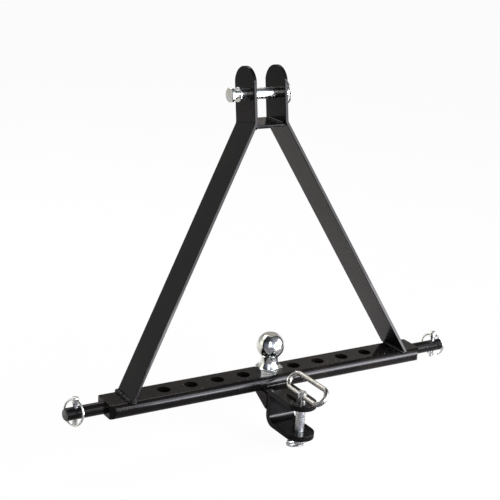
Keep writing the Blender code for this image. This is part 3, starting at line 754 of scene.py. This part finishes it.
bpy.ops.mesh.primitive_circle_add(
    vertices=3, radius=0.00115, fill_type="NGON", location=(0.0101, 0.0, -0.0412),
    rotation=(math.pi / 2, math.pi / 2, 0.0),
)
thread = begin("shank_thread")
work(thread, "SCREW", axis="Z", angle=2 * math.pi, screw_offset=thread_pitch,
     iterations=thread_turns, steps=48, render_steps=48)
take_all(thread, "EDGE")
bpy.ops.mesh.select_all(action="DESELECT")
bpy.ops.mesh.select_non_manifold()
bpy.ops.mesh.fill()
bpy.ops.object.mode_set(mode="OBJECT")
settle(thread, "frame", plated_steel)

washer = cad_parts["ball_lock_washer"]
washer.data.materials.clear()
washer.data.materials.append(plated_steel)


# Clevis jaw. Its upper ear is a 10 mm plate welded to the beam's front edge, and the lower one
# is a bar of the same size bent forward from a web. Both end round about the pin's hole.
ear_thick = 0.010
pin_hole = 0.009
pin_y = -0.109
jaw_half = 0.027
jaw_floor = -0.060
jaw_reach = 0.085
web_top = -0.0130
web_front = -0.051
jaw_bend_inside = 0.010
jaw_bend = jaw_bend_inside + ear_thick / 2
web_y = web_front + ear_thick / 2
lower_z = jaw_floor - ear_thick / 2


def jaw_plan(name, back, low, high):
    """The jaw's outline from above, as a block with a full round end about the pin."""
    bpy.ops.mesh.primitive_cylinder_add(
        vertices=96, radius=jaw_half, depth=high - low, location=(0.0, pin_y, (high + low) / 2)
    )
    block = begin(name)
    take_all(block)
    saw((0.0, pin_y, 0.0), (0.0, 1.0, 0.0))
    pick(block, "FACE", lambda middle, normal: normal.y > 0.99)
    pull((0.0, back - pin_y, 0.0))
    bpy.ops.object.mode_set(mode="OBJECT")
    return block


upper_ear = jaw_plan("upper_ear_plate", back=-0.03205, low=-0.0127, high=-0.0027)
drill(upper_ear, radius=pin_hole, depth=0.05, spot=(0.0, pin_y, 0.0))
ease(upper_ear, 0.0009, angle=50.0, segments=3)
settle(upper_ear, "frame", black_enamel, ["clevis_upper_ear"])

web_end = (0.0, web_y, web_top)
bpy.ops.mesh.primitive_plane_add(size=1.0, location=web_end)
lower_bar = begin("lower_ear_bar")
take_all(lower_bar)
bpy.ops.transform.resize(value=(2 * jaw_half, ear_thick, 1.0), center_override=web_end)
pull((0.0, 0.0, lower_z + jaw_bend - web_top))
bend_centre = (0.0, web_y - jaw_bend, lower_z + jaw_bend)
bpy.ops.mesh.spin(steps=14, angle=math.pi / 2, axis=(1.0, 0.0, 0.0), center=bend_centre)
pull((0.0, -jaw_reach, 0.0))
bpy.ops.object.mode_set(mode="OBJECT")
cut(lower_bar, jaw_plan("lower_plan", back=-0.030, low=-0.2, high=0.1), "INTERSECT")
drill(lower_bar, radius=pin_hole, depth=0.05, spot=(0.0, pin_y, lower_z))
ease(lower_bar, 0.0009, angle=50.0, segments=3)
settle(lower_bar, "frame", black_enamel, ["clevis_lower_bar"])

lay_seam("upper_ear_seam_top", (-0.0262, -0.0322, -0.0022), (0.0262, -0.0322, -0.0022), 0.0034)
lay_seam("web_seam_front", (-0.0260, -0.0516, -0.0132), (0.0260, -0.0516, -0.0132), 0.0030)
for side, hand in ((-1.0, "left"), (1.0, "right")):
    x = side * 0.0272
    lay_seam("upper_ear_seam_" + hand, (x, -0.0326, -0.0030), (x, -0.0326, -0.0118), 0.0026)


# Gussets. Two 6 mm plates cut to a taper stiffen the web: each is welded along its top to the
# underside of the beam and along its front edge to the back of the web.
gusset_thick = 0.006
gusset_length = 0.0527
gusset_drop = 0.030
gusset_y = -0.01435
gusset_z = -0.0280
for side, hand in ((-1.0, "left"), (1.0, "right")):
    x = side * (jaw_half - gusset_thick / 2)
    bpy.ops.mesh.primitive_cube_add(
        size=1.0, location=(x, gusset_y, gusset_z), scale=(gusset_thick, gusset_length, gusset_drop)
    )
    gusset = begin(hand + "_gusset_plate")
    take_all(gusset)
    saw((x, 0.0120, -0.0170), (0.0, 0.0260, -0.0487))
    bpy.ops.object.mode_set(mode="OBJECT")
    ease(gusset, 0.0006)
    settle(gusset, "frame", black_enamel, ["clevis_gusset_" + hand])
    x = side * 0.0272
    lay_seam(hand + "_gusset_seam_top", (x, -0.0400, -0.0134), (x, 0.0112, -0.0134), 0.0026)
    x = side * 0.0268
    lay_seam(hand + "_gusset_seam_web", (x, -0.0412, -0.0150), (x, -0.0412, -0.0410), 0.0024)


# Clevis pin. A 17 mm round bar, chamfered at both ends and cross-drilled twice: near the top for
# the handle, which stops it at the upper ear, and below the jaw for its linch pin.
handle_hole = 0.0049
handle_spot = (0.0, pin_y, 0.0065)
clevis_linch_spot = (0.0, pin_y, -0.078)
along_y = (math.pi / 2, 0.0, 0.0)
clevis_pin = turn("clevis_pin_bar", [
    (0.0069, 0.0145), (0.0085, 0.0130), (0.0085, -0.0840), (0.0069, -0.0855),
])
move(clevis_pin, Matrix.Translation((0.0, pin_y, 0.0)))
drill(clevis_pin, radius=handle_hole, depth=0.06, spot=handle_spot, turned=along_y, vertices=48)
drill(
    clevis_pin, radius=linch_hole, depth=0.06, spot=clevis_linch_spot, turned=along_x, vertices=48
)
ease(clevis_pin, 0.0003, angle=30.0)
settle(clevis_pin, "clevis_pin", plated_steel, ["clevis_pin"])


# Loop handle. A 9 mm round bar bent into a long closed loop through the top of the clevis pin
# and butt welded, so that it swings on the pin and lifts it out. Its plating has gone dull.
rod_radius = 0.0045
loop_bend = 0.0155
loop_straight = 0.0365
handle_lean = math.radians(-50.0)
bpy.ops.mesh.primitive_circle_add(
    vertices=28, radius=rod_radius, location=(0.0, 0.0, 0.0), rotation=along_y
)
handle = begin("handle_loop")
take_all(handle, "EDGE")
pull((0.0, loop_straight, 0.0))
for bend_y, run in ((loop_straight, -2 * loop_straight), (-loop_straight, loop_straight)):
    bend_centre = (loop_bend, bend_y, 0.0)
    bpy.ops.mesh.spin(steps=28, angle=math.pi, axis=(0.0, 0.0, 1.0), center=bend_centre)
    pull((0.0, run, 0.0))
bpy.ops.mesh.select_all(action="SELECT")
bpy.ops.mesh.remove_doubles(threshold=0.00002)
bpy.ops.object.mode_set(mode="OBJECT")
drawn_steel = plated_steel.copy()
drawn_steel.name = "drawn_steel"
drawn_tone = drawn_steel.node_tree.nodes["plating_tone"].color_ramp.elements
for stop, colour in zip(drawn_tone, (
    (0.36, 0.36, 0.35), (0.46, 0.45, 0.43), (0.42, 0.40, 0.36), (0.52, 0.52, 0.51),
)):
    stop.color = (*colour, 1.0)
handle_place = Matrix.Translation(handle_spot) @ Matrix.Rotation(handle_lean, 4, "Y")
settle(handle, "handle", drawn_steel, ["loop_handle"], handle_place, smooth=60.0)


# Linch pins and their snap rings. Four alike: a 9 mm turned shank with a domed point and a
# barrel head, cross-drilled for a ring of spring wire that flips over to lock it. One holds each
# lower link, one the top pin and one the clevis pin.
linch_radius = 0.0045
linch_point = -0.0195
head_radius = 0.0060
head_round = 0.0030
head_top = 0.0265
head_bottom = 0.0195
ring_radius = 0.022
ring_wire = 0.0018
ring_hole = 0.0028
ring_spot = (0.0, 0.0, 0.0235)
ring_gap = 0.0003
ring_lean = math.asin((linch_radius + ring_wire + ring_gap) / (2 * ring_radius))
linch_shape = [(head_round, head_top + head_round)]
for a in (0.26, 0.52, 0.79, 1.05, 1.31, 1.57):
    radius = head_round + head_round * math.sin(a)
    linch_shape.append((radius, head_top + head_round * math.cos(a)))
linch_shape.append((head_radius, head_bottom))
for a in (0.26, 0.52, 0.79, 1.03):
    radius = head_round + head_round * math.cos(a)
    linch_shape.append((radius, head_bottom - head_round * math.sin(a)))
linch_shape += [(linch_radius, head_bottom - head_round), (linch_radius, linch_point)]
for a in (0.3, 0.6, 0.9, 1.2, 1.45):
    linch_shape.append((linch_radius * math.cos(a), linch_point - linch_radius * math.sin(a)))


def linch_frame(centre, head, outward):
    """Where a linch pin stands: its head along one direction and its ring opening along another."""
    tall = Vector(head)
    out = Vector(outward).normalized()
    place = Matrix((out, tall.cross(out), tall)).transposed().to_4x4()
    place.translation = Vector(centre)
    return place


def out_at(degrees):
    """A level direction for an upright linch pin's ring to open to."""
    return (math.cos(math.radians(degrees)), math.sin(math.radians(degrees)), 0.0)


upright = (0.0, 0.0, 1.0)
left_place = linch_frame((-link_linch_x, 0.0, 0.0), upright, out_at(200.0))
right_place = linch_frame((link_linch_x, 0.0, 0.0), upright, out_at(28.0))
top_linch_place = top_place @ linch_frame((top_linch_x, 0.0, 0.0), upright, out_at(0.0))
low = math.radians(15.0)
clevis_open = (0.0, -math.sin(low), -math.cos(low))
clevis_linch_place = linch_frame(clevis_linch_spot, (1.0, 0.0, 0.0), clevis_open)

linch = turn("linch_bar", linch_shape, 48)
drill(linch, radius=ring_hole, depth=0.04, spot=ring_spot, turned=along_y, vertices=32)
ease(linch, 0.00025, angle=30.0)

bpy.ops.mesh.primitive_torus_add(
    major_radius=ring_radius, minor_radius=ring_wire, major_segments=96, minor_segments=16,
    location=(0.0, 0.0, 0.0), rotation=along_x,
)
snap_ring = begin("snap_wire")
move(snap_ring, Matrix.Translation((0.0, 0.0, -ring_radius)))
snap_place = Matrix.Translation(ring_spot) @ Matrix.Rotation(-ring_lean, 4, "Y")
for name, body, place in (
    ("left", "frame", left_place),
    ("right", "frame", right_place),
    ("top", "top_pin", top_linch_place),
    ("clevis", "clevis_pin", clevis_linch_place),
):
    for source, stem, carrier, extra, node in (
        (linch, "_linch_bar", body, Matrix.Identity(4), "_linch_pin"),
        (snap_ring, "_snap_ring", name + "_ring", snap_place, "_linch_ring"),
    ):
        copy = source.copy()
        copy.data = source.data.copy()
        copy.name = copy.data.name = name + stem
        scene.collection.objects.link(copy)
        settle(copy, carrier, plated_steel, [name + node], place @ extra, smooth=50.0)
bpy.data.objects.remove(linch)
bpy.data.objects.remove(snap_ring)
